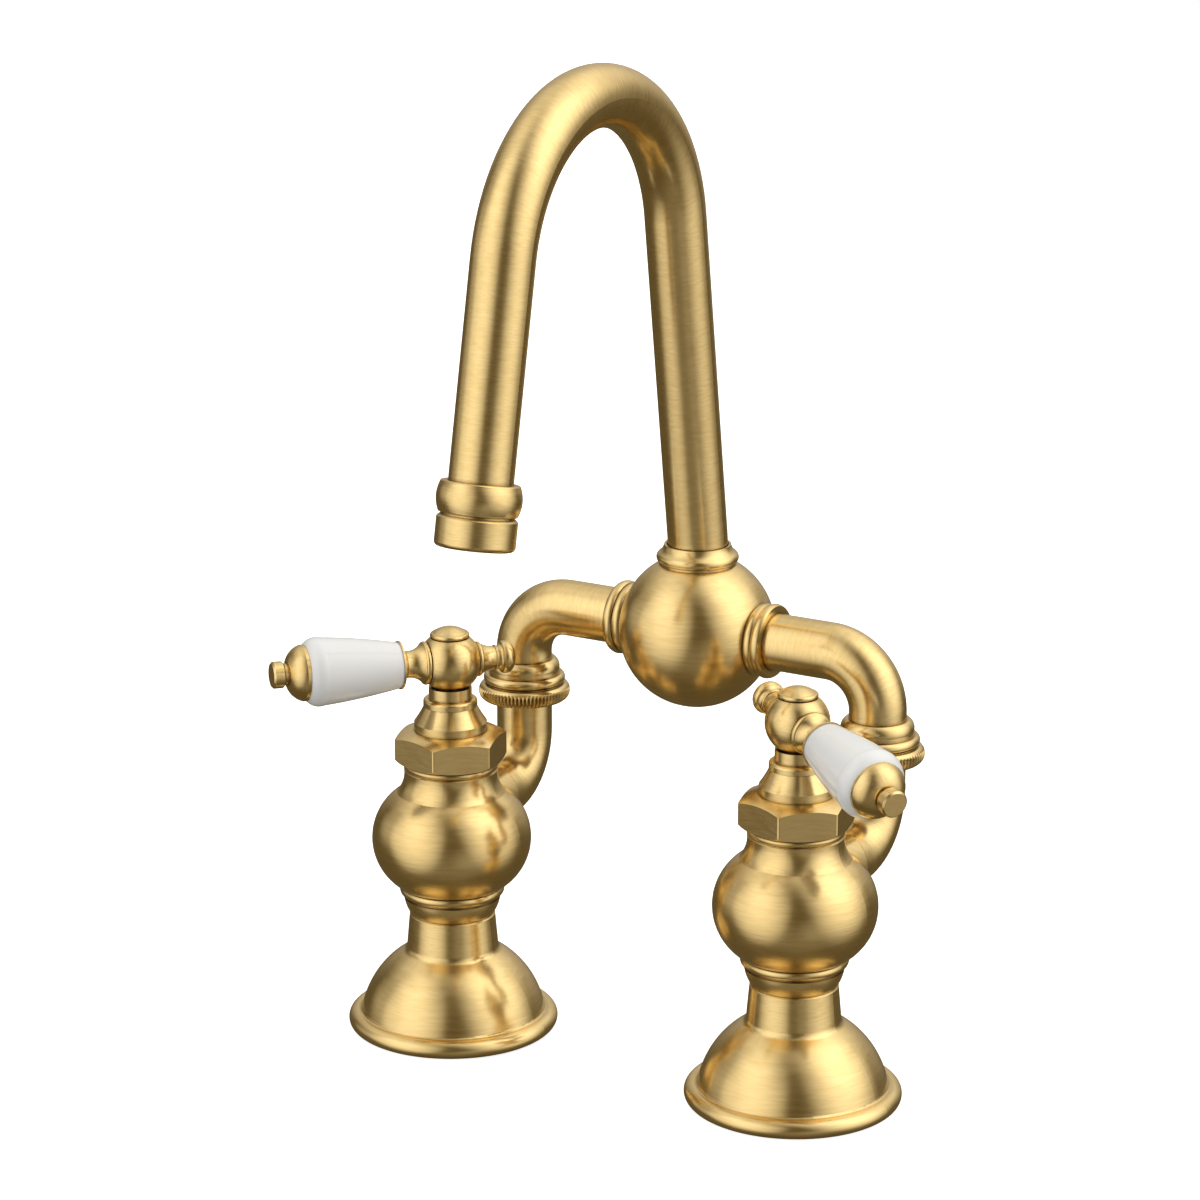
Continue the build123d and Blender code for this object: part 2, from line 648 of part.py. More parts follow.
def lever_ferrule():
    """Flange, waist and lipped cup between the hub and the porcelain."""
    waist_z = FERRULE_SEAT + FERRULE_WAIST
    end_z = FERRULE_SEAT + FERRULE_LENGTH
    cup_z = end_z - FERRULE_CUP
    rim_r = FERRULE_R - FERRULE_RIM / 3
    return turned(
        (ROD_R + SOCKET_FIT, FERRULE_SEAT),
        (rim_r, FERRULE_SEAT),
        (rim_r, FERRULE_SEAT + FERRULE_RIM, FERRULE_RIM / 3),
        (FERRULE_WAIST_R, waist_z, -FERRULE_HOLLOW),
        (FERRULE_LIP_R, cup_z, -FERRULE_FLARE),
        (FERRULE_LIP_R, end_z),
        (PORCELAIN_R + SOCKET_FIT, end_z),
        (PORCELAIN_R + SOCKET_FIT, cup_z),
        (ROD_R + SOCKET_FIT, cup_z),
    )


def porcelain_lever():
    """Tapered porcelain grip, bored for the tie rod."""
    wide_z = PORCELAIN_Z + PORCELAIN_TAPER
    return turned(
        (PORCELAIN_BORE_R, PORCELAIN_Z),
        (PORCELAIN_R, PORCELAIN_Z),
        (PORCELAIN_R, PORCELAIN_Z + FERRULE_CUP),
        (PORCELAIN_WIDE_R, wide_z, PORCELAIN_CROWN),
        (PORCELAIN_END_R, CAP_Z, PORCELAIN_SHOULDER_CROWN),
        (PORCELAIN_BORE_R, CAP_Z),
    )


def lever_end_cap():
    """Domed cap with a neck and a small button, tapped for the tie rod."""
    dome_z = CAP_Z + CAP_RIM
    neck_z = dome_z + CAP_DOME
    button_z = neck_z + CAP_NECK
    end_z = button_z + CAP_BUTTON
    turning = turned(
        (0, CAP_Z),
        (CAP_R, CAP_Z),
        (CAP_R, dome_z),
        (CAP_NECK_R, neck_z, CAP_DOME_CROWN),
        (CAP_NECK_R, button_z),
        (CAP_BUTTON_R - CAP_EDGE, button_z),
        (CAP_BUTTON_R, button_z + CAP_EDGE),
        (CAP_BUTTON_R, end_z - CAP_EDGE),
        (CAP_BUTTON_R - CAP_EDGE, end_z),
        (0, end_z),
    )
    return turning - rod(ROD_R + SOCKET_FIT, CAP_Z, CAP_Z + CAP_BLIND)


def lever_rod():
    """Tie rod that clamps ferrule, porcelain and cap to the hub."""
    return rod(ROD_R, ROD_START, CAP_Z + CAP_BLIND)


def rear_finial():
    """Ring, neck, bead and flared knob behind the hub, on a threaded spigot."""
    ring_z = FINIAL_SEAT + FINIAL_RING
    neck_z = ring_z + FINIAL_NECK
    bead_z = neck_z + FINIAL_BEAD
    edge_r = FINIAL_RING_R - FINIAL_RING / 3
    knob_z = bead_z + KNOB_RISE
    rim_r = KNOB_R - KNOB_EDGE_R
    rise = KNOB_HALF - KNOB_EDGE_R
    dome_drop = (rim_r**2 - rise**2) / (2 * rise)
    dome_r = KNOB_HALF + dome_drop
    dome_z = knob_z + KNOB_EDGE_R * dome_drop / (dome_r - KNOB_EDGE_R)
    edge = arc_between(KNOB_EDGE_R, knob_z, knob_z - KNOB_EDGE_R / 2, dome_z, rim_r)
    flare = edge @ 0
    return turned(
        (0, ROD_START),
        (ROD_R, ROD_START),
        (ROD_R, FINIAL_SEAT),
        (edge_r, FINIAL_SEAT),
        (edge_r, ring_z, FINIAL_RING / 3),
        (FINIAL_NECK_R, neck_z, -FINIAL_HOLLOW),
        (FINIAL_NECK_R, bead_z, FINIAL_BEAD_R - FINIAL_NECK_R),
        (flare.X, flare.Y, -KNOB_FLARE),
        edge,
        cap(dome_r, knob_z - dome_drop, dome_z),
    )


def union_nut():
    """Rounded ring nut with a lip under the tail pipe's flange."""
    top_z = UNION_Z + UNION_NUT_HEIGHT
    lip_z = UNION_Z + UNION_LIP
    return turned(
        (PIPE_R + PIPE_GAP, UNION_Z),
        (UNION_NUT_EDGE_R, UNION_Z),
        (UNION_NUT_EDGE_R, top_z, UNION_NUT_R - UNION_NUT_EDGE_R),
        (UNION_THREAD_R + SOCKET_FIT, top_z),
        (UNION_THREAD_R + SOCKET_FIT, lip_z),
        (PIPE_R + PIPE_GAP, lip_z),
    )


def union_washer():
    """Flat washer that seals the flange."""
    return tube(
        UNION_WASHER_BORE_R, UNION_SOCKET_R - SOCKET_FIT, UNION_WASHER_Z, UNION_SOCKET_Z
    )


def union_collar():
    """Two-ring collar on the elbow, with the threaded skirt for the nut."""
    skirt_z = UNION_Z + UNION_LIP + COLLAR_GAP / 2
    step_z = UNION_COLLAR_Z + UNION_RING_HEIGHT
    shoulder_z = step_z + UNION_STEP_HEIGHT
    return turned(
        (UNION_SOCKET_R, skirt_z),
        (UNION_THREAD_R, skirt_z),
        (UNION_THREAD_R, UNION_COLLAR_Z),
        (UNION_RING_EDGE_R, UNION_COLLAR_Z),
        (UNION_RING_EDGE_R, step_z, UNION_RING_R - UNION_RING_EDGE_R),
        (UNION_STEP_R, step_z),
        (UNION_STEP_R, shoulder_z),
        (UNION_TOP_R, UNION_TOP_Z, UNION_TOP_CROWN),
        (PIPE_R + SOCKET_FIT, UNION_TOP_Z),
        (PIPE_R + SOCKET_FIT, ELBOW_END_Z),
        (PIPE_BORE_R, ELBOW_END_Z),
        (PIPE_BORE_R, UNION_SOCKET_Z),
        (UNION_SOCKET_R, UNION_SOCKET_Z),
    )


def bridge_elbow(side):
    """Pipe from the ball out to the union and down into its collar."""
    wall_x = math.sqrt((BALL_R - BALL_WALL) ** 2 - PIPE_R**2)
    path = FilletPolyline(
        (side * wall_x, BRIDGE_Y, BRIDGE_Z),
        (side * UNION_X, BRIDGE_Y, BRIDGE_Z),
        (side * UNION_X, BRIDGE_Y, ELBOW_END_Z),
        radius=PIPE_BEND_R,
    )
    return swept(path, PIPE_R, PIPE_BORE_R)


def ball_side_collar():
    """Two-ring collar where the elbow enters the ball, turned about its own axis."""
    ring_z = ARM_SEAT + ARM_RING
    nose_z = ring_z + ARM_NOSE
    return turned(
        (PIPE_R + SOCKET_FIT, ARM_SEAT),
        (ARM_RING_R - ARM_EDGE, ARM_SEAT),
        (ARM_RING_R - ARM_EDGE, ring_z, ARM_EDGE),
        (ARM_NOSE_R - ARM_EDGE, ring_z),
        (ARM_NOSE_R - ARM_EDGE, nose_z, ARM_EDGE),
        (PIPE_R + SOCKET_FIT, nose_z),
    )


def at_ball(shape):
    """Move a shape that is built round the ball's centre to the ball."""
    return Pos(0, BRIDGE_Y, BRIDGE_Z) * shape


def sideways(side):
    """Turn that sends +Z to the given side."""
    return Rot(0, side * 90, 0)


def ball_body():
    """Hollow ball with two elbow sockets and the boss that the spout turns in."""
    boss_low = COLLAR_SEAT - GLAND_DEPTH - BOSS_LENGTH
    hollow = Sphere(BALL_R - BALL_WALL) - rod(BALL_BOSS_R, boss_low, BALL_R)
    ball = Sphere(BALL_R) - hollow
    for side in (-1, 1):
        ball = ball - sideways(side) * rod(PIPE_R + SOCKET_FIT, BALL_BOSS_R + ARM_EDGE, BALL_R)
        ball = ball - sideways(side) * rod(ARM_RING_R, ARM_SEAT, BALL_R)
    ball = ball - rod(SPOUT_COLLAR_BASE_R + SOCKET_FIT, COLLAR_SEAT, BALL_R)
    ball = ball - rod(GLAND_THREAD_R + SOCKET_FIT, COLLAR_SEAT - GLAND_DEPTH, COLLAR_SEAT)
    ball = ball - rod(SPOUT_R + SPOUT_FIT, boss_low, COLLAR_SEAT - GLAND_DEPTH)
    return at_ball(ball)


def spout_collar():
    """Gland collar on the ball: base band, bead and hollow slope to the spout."""
    base_z = COLLAR_SEAT + SPOUT_COLLAR_BASE
    bead_z = base_z + SPOUT_COLLAR_BEAD
    lip_z = bead_z + SPOUT_COLLAR_SLOPE
    bore_r = SPOUT_R + PIPE_GAP
    return at_ball(
        turned(
            (bore_r, COLLAR_SEAT - GLAND_GRIP),
            (GLAND_THREAD_R, COLLAR_SEAT - GLAND_GRIP),
            (GLAND_THREAD_R, COLLAR_SEAT),
            (SPOUT_COLLAR_BASE_R, COLLAR_SEAT),
            (SPOUT_COLLAR_BASE_R, base_z),
            (SPOUT_COLLAR_BASE_R, bead_z, SPOUT_COLLAR_R - SPOUT_COLLAR_BASE_R),
            (SPOUT_COLLAR_LIP_R, lip_z, -SPOUT_COLLAR_HOLLOW),
            (bore_r, lip_z),
        )
    )


def spout_paths():
    """Centre line of the whole spout, and of the part above its foot."""
    collar_top = SPOUT_COLLAR_BASE + SPOUT_COLLAR_BEAD + SPOUT_COLLAR_SLOPE
    foot_z = GLAND_Z - FOOT_LENGTH
    bend_z = COLLAR_Z + collar_top
    end_run = AERATOR_Z + SPOUT_SEAT
    upright = Plane(origin=(0, BRIDGE_Y, 0), x_dir=(0, -1, 0), z_dir=(-1, 0, 0))
    bend = JernArc((0, bend_z), (0, 1), SPOUT_FOOT_BEND_R, -SPOUT_LEAN)
    rise = Line(bend @ 1, (bend @ 1) + (bend % 1) * SPOUT_RISE)
    arc_turn = 180 - OUTLET_SPLAY - SPOUT_LEAN
    arc = JernArc(rise @ 1, rise % 1, SPOUT_ARC_R, -arc_turn)
    fall = Line(arc @ 1, (arc @ 1) + (arc % 1) * end_run)
    above = [*bend.edges(), *rise.edges(), *arc.edges(), *fall.edges()]
    foot = Line((0, foot_z), (0, bend_z))
    neck = Line((0, COLLAR_Z), (0, bend_z))
    return upright * Wire([foot.edge(), *above]), upright * Wire([neck.edge(), *above])


def outlet():
    """Place at the top of the spout's straight outlet, with +Z along the flow."""
    path = spout_paths()[0]
    flow = path % 1
    run = AERATOR_Z + SPOUT_SEAT
    return Plane(origin=(path @ 1) - flow * run, x_dir=(1, 0, 0), z_dir=flow).location


def oring_heights():
    """Heights of the two ring grooves in the spout foot."""
    first = GLAND_Z - ORING_FIRST
    return [first - copy * ORING_PITCH for copy in range(2)]


def oring_centre_r():
    """Radius of the O-rings' centre line, just clear of the ball's bore."""
    return SPOUT_R + SPOUT_FIT / 2 - ORING_R


def at_spout(shape):
    """Move a shape turned about Z to the spout's turning axis."""
    return Pos(0, BRIDGE_Y, 0) * shape


def spout_tube():
    """Gooseneck tube with a thick foot, two ring grooves and a clip groove."""
    above = spout_paths()[1]
    foot_z = GLAND_Z - FOOT_LENGTH
    tubing = swept(above, SPOUT_R, SPOUT_BORE_R)
    foot = tube(FOOT_BORE_R, SPOUT_R, foot_z, COLLAR_Z)
    groove_r = oring_centre_r() - ORING_R - SOCKET_FIT
    groove_half = ORING_R + SOCKET_FIT
    for height in oring_heights():
        foot = foot - tube(groove_r, 2 * SPOUT_R, height - groove_half, height + groove_half)
    clip_z = GLAND_Z + CLIP_PLAY
    foot = foot - tube(SPOUT_R - CLIP_BITE, 2 * SPOUT_R, clip_z, clip_z + CLIP_THICK)
    return tubing + at_spout(foot)


def spout_orings():
    """Two O-rings on the spout foot."""
    rings = []
    for height in oring_heights():
        ring = Pos(0, BRIDGE_Y, height) * Torus(oring_centre_r(), ORING_R)
        rings.append(ring)
    return Compound(children=rings)


def spout_retaining_ring():
    """Split ring in the foot's groove, under the gland collar."""
    low_z = GLAND_Z + CLIP_PLAY
    ring = tube(SPOUT_R - CLIP_BITE, CLIP_R, low_z, low_z + CLIP_THICK)
    slot = Pos(0, CLIP_R, low_z + CLIP_THICK / 2) * Box(2 * CLIP_BITE, 2 * CLIP_R, 2 * CLIP_THICK)
    return at_spout(ring - slot)


def aerator_collar():
    """Barrel-shaped collar on the end of the spout, tapped for the housing."""
    end_z = AERATOR_Z + AERATOR_COLLAR
    shoulder = AERATOR_SHOULDER
    turning = turned(
        (SPOUT_R + SOCKET_FIT, AERATOR_Z),
        (AERATOR_COLLAR_EDGE_R - shoulder, AERATOR_Z),
        (AERATOR_COLLAR_EDGE_R, AERATOR_Z + shoulder, shoulder / 4),
        (AERATOR_COLLAR_EDGE_R, end_z - shoulder, AERATOR_COLLAR_R - AERATOR_COLLAR_EDGE_R),
        (AERATOR_COLLAR_EDGE_R - shoulder, end_z, shoulder / 4),
        (HOUSING_THREAD_R + SOCKET_FIT, end_z),
        (HOUSING_THREAD_R + SOCKET_FIT, AERATOR_WASHER_Z),
        (SPOUT_BORE_R, AERATOR_WASHER_Z),
        (SPOUT_BORE_R, AERATOR_WASHER_Z - SPOUT_STOP),
        (SPOUT_R + SOCKET_FIT, AERATOR_WASHER_Z - SPOUT_STOP),
    )
    return outlet() * turning


def aerator_housing():
    """Aerator shell: threaded spigot, chamfered band and inner lip."""
    thread_z = HOUSING_Z - HOUSING_THREAD
    turning = turned(
        (HOUSING_BORE_R, thread_z),
        (HOUSING_THREAD_R, thread_z),
        (HOUSING_THREAD_R, HOUSING_Z),
        (HOUSING_R - HOUSING_CHAMFER, HOUSING_Z),
        (HOUSING_R, HOUSING_Z + HOUSING_CHAMFER),
        (HOUSING_R, OUTLET_LENGTH - HOUSING_EDGE),
        (HOUSING_R - HOUSING_EDGE, OUTLET_LENGTH, HOUSING_EDGE / 4),
        (HOUSING_LIP_R, OUTLET_LENGTH),
        (HOUSING_LIP_R, OUTLET_LENGTH - HOUSING_LIP),
        (HOUSING_BORE_R, OUTLET_LENGTH - HOUSING_LIP),
    )
    return outlet() * turning


def aerator_insert():
    """Plastic cup with a plate of small jets."""
    end_z = OUTLET_LENGTH - HOUSING_LIP
    outer_r = HOUSING_BORE_R - SOCKET_FIT
    cup = rod(outer_r, INSERT_Z, end_z)
    cup = cup - rod(outer_r - INSERT_WALL, INSERT_Z, end_z - INSERT_PLATE)
    jet = rod(JET_R, end_z - INSERT_PLATE, end_z)
    jets = [jet]
    for ring in range(1, JET_RINGS + 1):
        count = 6 * ring
        for place in range(count):
            jets.append(Rot(0, 0, 360 * place / count) * (Pos(ring * JET_PITCH, 0, 0) * jet))
    return outlet() * (cup - jets)


def aerator_washer():
    """Flat washer between the spout end and the insert."""
    return outlet() * tube(SPOUT_BORE_R, HOUSING_THREAD_R, AERATOR_WASHER_Z, INSERT_Z)


def leg_pieces(hex_turn):
    """Pieces of one leg, by name, round its valve axis."""
    return {
        "base_bell": base_bell(),
        "deck_gasket": deck_gasket(),
        "valve_body": valve_body(),
        "tail_pipe": tail_pipe(),
        "bonnet_ring": bonnet_ring(),
        "hex_bonnet_nut": hex_bonnet_nut(hex_turn),
        "bonnet_sleeve": bonnet_sleeve(),
        "cartridge_body": cartridge_body(),
        "cartridge_seal": cartridge_seal(),
        "ceramic_disc_fixed": ceramic_disc_fixed(),
    }


def handle_pieces(droop):
    """Pieces of one handle, by name, round its valve axis, with the lever along +X."""
    lever = Pos(0, 0, HUB_Z) * Rot(0, 90 + droop, 0)
    finial = lever * Rot(180, 0, 0)
    return {
        "cartridge_spindle": cartridge_spindle(),
        "ceramic_disc_moving": ceramic_disc_moving(),
        "handle_hub": handle_hub(lever, finial),
        "handle_screw": handle_screw(),
        "index_button": index_button(),
        "lever_ferrule": lever * lever_ferrule(),
        "porcelain_lever": lever * porcelain_lever(),
        "lever_end_cap": lever * lever_end_cap(),
        "lever_rod": lever * lever_rod(),
        "rear_finial": finial * rear_finial(),
    }


def bridge_side_pieces(side):
    """Pieces of the bridge on one side, by name, in place."""
    union = Pos(side * UNION_X, BRIDGE_Y, 0)
    return {
        "union_nut": union * union_nut(),
        "union_washer": union * union_washer(),
        "union_collar": union * union_collar(),
        "bridge_elbow": bridge_elbow(side),
        "ball_side_collar": at_ball(sideways(side) * ball_side_collar()),
    }


def centre_pieces():
    """Pieces in the middle, by name, in place."""
    return {
        "ball_body": ball_body(),
        "spout_collar": spout_collar(),
        "spout_tube": spout_tube(),
        "spout_orings": spout_orings(),
        "spout_retaining_ring": spout_retaining_ring(),
        "aerator_collar": aerator_collar(),
        "aerator_housing": aerator_housing(),
        "aerator_insert": aerator_insert(),
        "aerator_washer": aerator_washer(),
    }


def faucet():
    """All pieces by node name, in place."""
    pieces = centre_pieces()
    sides = (
        ("left", -1, 180 + LEFT_LEVER_TURN, LEFT_LEVER_DROOP, HEX_TURN_LEFT),
        ("right", 1, -RIGHT_LEVER_TURN, RIGHT_LEVER_DROOP, HEX_TURN_RIGHT),
    )
    for name, side, lever_turn, droop, hex_turn in sides:
        valve = Pos(side * VALVE_X, 0, 0)
        leg = valve * Rot(0, 0, -side * LEG_TOE)
        for piece, shape in leg_pieces(hex_turn + side * LEG_TOE).items():
            pieces[f"{piece}_{name}"] = leg * shape
        for piece, shape in handle_pieces(droop).items():
            pieces[f"{piece}_{name}"] = valve * Rot(0, 0, lever_turn) * shape
        for piece, shape in bridge_side_pieces(side).items():
            pieces[f"{piece}_{name}"] = shape
    return pieces


os.makedirs("parts", exist_ok=True)
for node, shape in faucet().items():
    export_step(shape, f"parts/{node}.step")
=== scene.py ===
import json
import logging
import math
from dataclasses import dataclass
from enum import Enum
from typing import Protocol, Sequence, Union

import bmesh
import bpy
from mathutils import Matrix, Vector


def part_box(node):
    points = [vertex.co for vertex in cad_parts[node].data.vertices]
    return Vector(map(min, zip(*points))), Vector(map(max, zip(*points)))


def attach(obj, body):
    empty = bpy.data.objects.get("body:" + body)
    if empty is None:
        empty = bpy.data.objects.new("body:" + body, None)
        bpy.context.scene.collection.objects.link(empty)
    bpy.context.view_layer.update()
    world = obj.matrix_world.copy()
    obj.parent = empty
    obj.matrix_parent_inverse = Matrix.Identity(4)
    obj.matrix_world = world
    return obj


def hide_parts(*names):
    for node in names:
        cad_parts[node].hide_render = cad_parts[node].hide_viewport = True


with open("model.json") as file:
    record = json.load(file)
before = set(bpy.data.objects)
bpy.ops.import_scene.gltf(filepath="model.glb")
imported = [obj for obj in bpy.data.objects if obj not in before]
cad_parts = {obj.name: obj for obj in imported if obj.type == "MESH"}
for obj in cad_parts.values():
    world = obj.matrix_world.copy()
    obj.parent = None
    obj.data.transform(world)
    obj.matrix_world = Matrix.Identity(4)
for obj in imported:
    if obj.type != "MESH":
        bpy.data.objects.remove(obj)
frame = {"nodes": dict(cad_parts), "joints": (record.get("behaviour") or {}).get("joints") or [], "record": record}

LOG = logging.getLogger("bridge_faucet")
MM = 0.001
TINY = 1e-10
GRAIN_ROUGHNESS = 0.55
UPRIGHT_SMEAR = 0.6

Number = Union[float, int]
Triple = tuple[float, float, float]


class Side(Enum):
    """The two sides of the faucet, by the sign of X."""

    LEFT = -1
    RIGHT = 1

    @property
    def label(self) -> str:
        """Ending of this side's node names."""
        return self.name.lower()


class Signal:
    """A shader socket that can be used in plain arithmetic."""

    def __init__(self, bench: "Bench", socket: bpy.types.NodeSocket) -> None:
        """Wrap a socket.

        Args:
            bench: The bench that new Math nodes go to.
            socket: The output socket.
        """
        self.bench = bench
        self.socket = socket

    def _with(self, operation: str, *others: Union["Signal", Number]) -> "Signal":
        """Add a Math node that takes this signal first.

        Args:
            operation: The Math node's operation.
            others: Its other terms.

        Returns:
            The result.
        """
        return self.bench.maths(operation, self, *others)

    def __add__(self, other: Union["Signal", Number]) -> "Signal":
        """Sum."""
        return self._with("ADD", other)

    __radd__ = __add__

    def __sub__(self, other: Union["Signal", Number]) -> "Signal":
        """Difference."""
        return self._with("SUBTRACT", other)

    def __rsub__(self, other: Number) -> "Signal":
        """Difference from a number."""
        return self.bench.maths("SUBTRACT", other, self)

    def __mul__(self, other: Union["Signal", Number]) -> "Signal":
        """Product."""
        return self._with("MULTIPLY", other)

    __rmul__ = __mul__

    def __truediv__(self, other: Union["Signal", Number]) -> "Signal":
        """Quotient."""
        return self._with("DIVIDE", other)

    def __pow__(self, other: Union["Signal", Number]) -> "Signal":
        """Power."""
        return self._with("POWER", other)

    def __gt__(self, other: Union["Signal", Number]) -> "Signal":
        """One where this signal is greater, nought elsewhere."""
        return self._with("GREATER_THAN", other)

    def at_least(self, floor: Number) -> "Signal":
        """This signal, held up to a lowest value."""
        return self._with("MAXIMUM", floor)

    def root(self) -> "Signal":
        """Square root."""
        return self._with("SQRT")


class Bench:
    """Builds the nodes of one material or of the world."""

    def __init__(self, tree: bpy.types.NodeTree) -> None:
        """Clear a node tree and work on it.

        Args:
            tree: The node tree.
        """
        self.tree = tree
        self.tree.nodes.clear()

    def node(
        self, kind: str, settings: dict | None = None, inputs: dict | None = None
    ) -> bpy.types.Node:
        """Add a node.

        Args:
            kind: The node's type name.
            settings: Its own settings, set before its sockets.
            inputs: Values or signals for its sockets, by name or index.

        Returns:
            The new node.
        """
        made = self.tree.nodes.new(kind)
        for key, value in (settings or {}).items():
            setattr(made, key, value)
        for key, value in (inputs or {}).items():
            if isinstance(value, Signal):
                self.tree.links.new(value.socket, made.inputs[key])
            else:
                made.inputs[key].default_value = value
        return made

    def signal(self, made: bpy.types.Node, output: Union[str, int] = 0) -> Signal:
        """One output of a node as a signal.

        Args:
            made: The node.
            output: The output's name or index.

        Returns:
            The signal.
        """
        return Signal(self, made.outputs[output])

    def maths(self, operation: str, *terms: Union[Signal, Number]) -> Signal:
        """Add a Math node over signals and numbers.

        Args:
            operation: The Math node's operation.
            terms: What it works on.

        Returns:
            The result.
        """
        made = self.node("ShaderNodeMath", {"operation": operation}, dict(enumerate(terms)))
        return self.signal(made)

    def blend(self, factor: Signal, low: Triple, high: Union[Triple, Signal]) -> Signal:
        """Mix two colours.

        Args:
            factor: Nought for the low colour and one for the high one.
            low: The first colour.
            high: The second colour.

        Returns:
            The mixed colour.
        """
        last = high if isinstance(high, Signal) else (*high, 1.0)
        values = {0: factor, 6: (*low, 1.0), 7: last}
        return self.signal(self.node("ShaderNodeMix", {"data_type": "RGBA"}, values), 2)

    def spread(
        self, value: Signal, low: float, high: float, start: float = 0.0, end: float = 1.0
    ) -> Signal:
        """Map a stretch of values onto a range, held at its ends."""
        values = {0: value, 1: start, 2: end, 3: low, 4: high}
        return self.signal(self.node("ShaderNodeMapRange", None, values))

    def share(self, first: Signal, second: Signal, part: float) -> Signal:
        """Sum of two signals, with the given part of the first."""
        return first * part + second * (1.0 - part)

    def openness(self, reach: float) -> Signal:
        """How open the place is, from ambient occlusion: nought deep in a crevice and one on an open face; it
        masks the painted shade between pieces.

        Args:
            reach: How far off other faces count.

        Returns:
            The openness.
        """
        made = self.node("ShaderNodeAmbientOcclusion", {"samples": 2}, {"Distance": reach})
        return self.signal(made, "AO")

    def parts(self, coordinates: str) -> tuple[Signal, Signal, Signal]:
        """Split one kind of texture coordinate.

        Args:
            coordinates: The kind, by its output's name.

        Returns:
            Its three parts.
        """
        place = self.signal(self.node("ShaderNodeTexCoord"), coordinates)
        split = self.node("ShaderNodeSeparateXYZ", None, {0: place})
        return self.signal(split, 0), self.signal(split, 1), self.signal(split, 2)

    def here(self) -> tuple[Signal, Signal, Signal]:
        """Object coordinates of the shaded point."""
        return self.parts("Object")

    def outward(self) -> tuple[Signal, Signal, Signal]:
        """Direction of a ray that leaves the scene, for the world."""
        return self.parts("Generated")

    def vector(self, *parts: Union[Signal, Number]) -> Signal:
        """A vector from its three parts."""
        return self.signal(self.node("ShaderNodeCombineXYZ", None, dict(enumerate(parts))))

    def grain(self, vector: Signal, scale: float = 1.0, detail: float = 2.0) -> Signal:
        """Noise from nought to one.

        Args:
            vector: Where the noise is read.
            scale: Features in one unit of the vector.
            detail: Finer layers added.

        Returns:
            The noise.
        """
        values = {"Vector": vector, "Scale": scale, "Detail": detail, "Roughness": GRAIN_ROUGHNESS}
        return self.signal(self.node("ShaderNodeTexNoise", None, values))

    def relief(self, height: Signal, distance: float, strength: float = 1.0) -> Signal:
        """Bump from a height.

        Args:
            height: The height, from nought to one.
            distance: What one unit of it measures.
            strength: How much of it shows.

        Returns:
            The normal.
        """
        values = {"Strength": strength, "Distance": distance, "Height": height}
        return self.signal(self.node("ShaderNodeBump", None, values), "Normal")

    def surface(self, inputs: dict) -> None:
        """End a material with one shader.

        Args:
            inputs: The shader's values and signals, by socket name.
        """
        shader = self.node("ShaderNodeBsdfPrincipled", None, inputs)
        output = self.node("ShaderNodeOutputMaterial")
        self.tree.links.new(shader.outputs[0], output.inputs[0])


def new_material(name: str) -> tuple[bpy.types.Material, Bench]:
    """Start a material.

    Args:
        name: Its name.

    Returns:
        The material and a bench over its nodes.
    """
    material = bpy.data.materials.new(name)
    material.use_nodes = True
    return material, Bench(material.node_tree)


def dotted(here: Sequence[Signal], centre: Sequence[float], axis: Sequence[float]) -> Signal:
    """Distance of the shaded point from a centre, along an axis.

    Args:
        here: The point's coordinates.
        centre: The centre.
        axis: The axis, of length one.

    Returns:
        The distance.
    """
    total = here[0] * axis[0] + here[1] * axis[1] + here[2] * axis[2]
    return total - Vector(centre).dot(Vector(axis))


class Rings(Protocol):
    """A way to lay rings round a piece."""

    def lay(self, bench: Bench) -> tuple[Signal, Signal, Signal]:
        """Direction round the piece, as cosine and sine, and distance along it."""


@dataclass(frozen=True)
class Turning:
    """Rings about one straight axis, and concentric on faces square to it."""

    centre: Triple
    axis: Triple = (0.0, 0.0, 1.0)
    face_share: float = 0.6

    def lay(self, bench: Bench) -> tuple[Signal, Signal, Signal]:
        """Place the shaded point against the axis.

        Args:
            bench: The material's bench.

        Returns:
            Direction round the axis, as cosine and sine, and distance along it.
        """
        axis = Vector(self.axis).normalized()
        across = axis.orthogonal().normalized()
        here = bench.here()
        x = dotted(here, self.centre, across)
        y = dotted(here, self.centre, axis.cross(across))
        radius = (x * x + y * y + TINY).root()
        along = dotted(here, self.centre, axis) + radius * self.face_share
        return x / radius, y / radius, along


@dataclass(frozen=True)
class BentPipe:
    """Rings about a pipe's centre line: a straight run, an arc and a straight run."""

    centre: Triple
    first: Triple
    second: Triple
    radius: float
    sweep: float

    def lay(self, bench: Bench) -> tuple[Signal, Signal, Signal]:
        """Place the shaded point against the pipe's centre line.

        Args:
            bench: The material's bench.

        Returns:
            Direction round the pipe, as cosine and sine, and distance along it.
        """
        first, second = Vector(self.first), Vector(self.second)
        turn = math.radians(self.sweep)
        here = bench.here()
        a = dotted(here, self.centre, first)
        b = dotted(here, self.centre, second)
        side = dotted(here, self.centre, first.cross(second))
        a_end = a * math.cos(turn) + b * math.sin(turn)
        b_end = b * math.cos(turn) - a * math.sin(turn)
        before = (0.0 - b > 0.0) * (a > 0.0)
        after = (b_end > 0.0) * (a_end > 0.0)
        bend = 1.0 - before - after
        reach = (a * a + b * b + TINY).root()
        angle = bench.maths("ARCTAN2", b, a)
        out = before * a + bend * reach + after * a_end - self.radius
        along = before * b + bend * angle * self.radius + after * (b_end + turn * self.radius)
        around = (out * out + side * side + TINY).root()
        return out / around, side / around, along


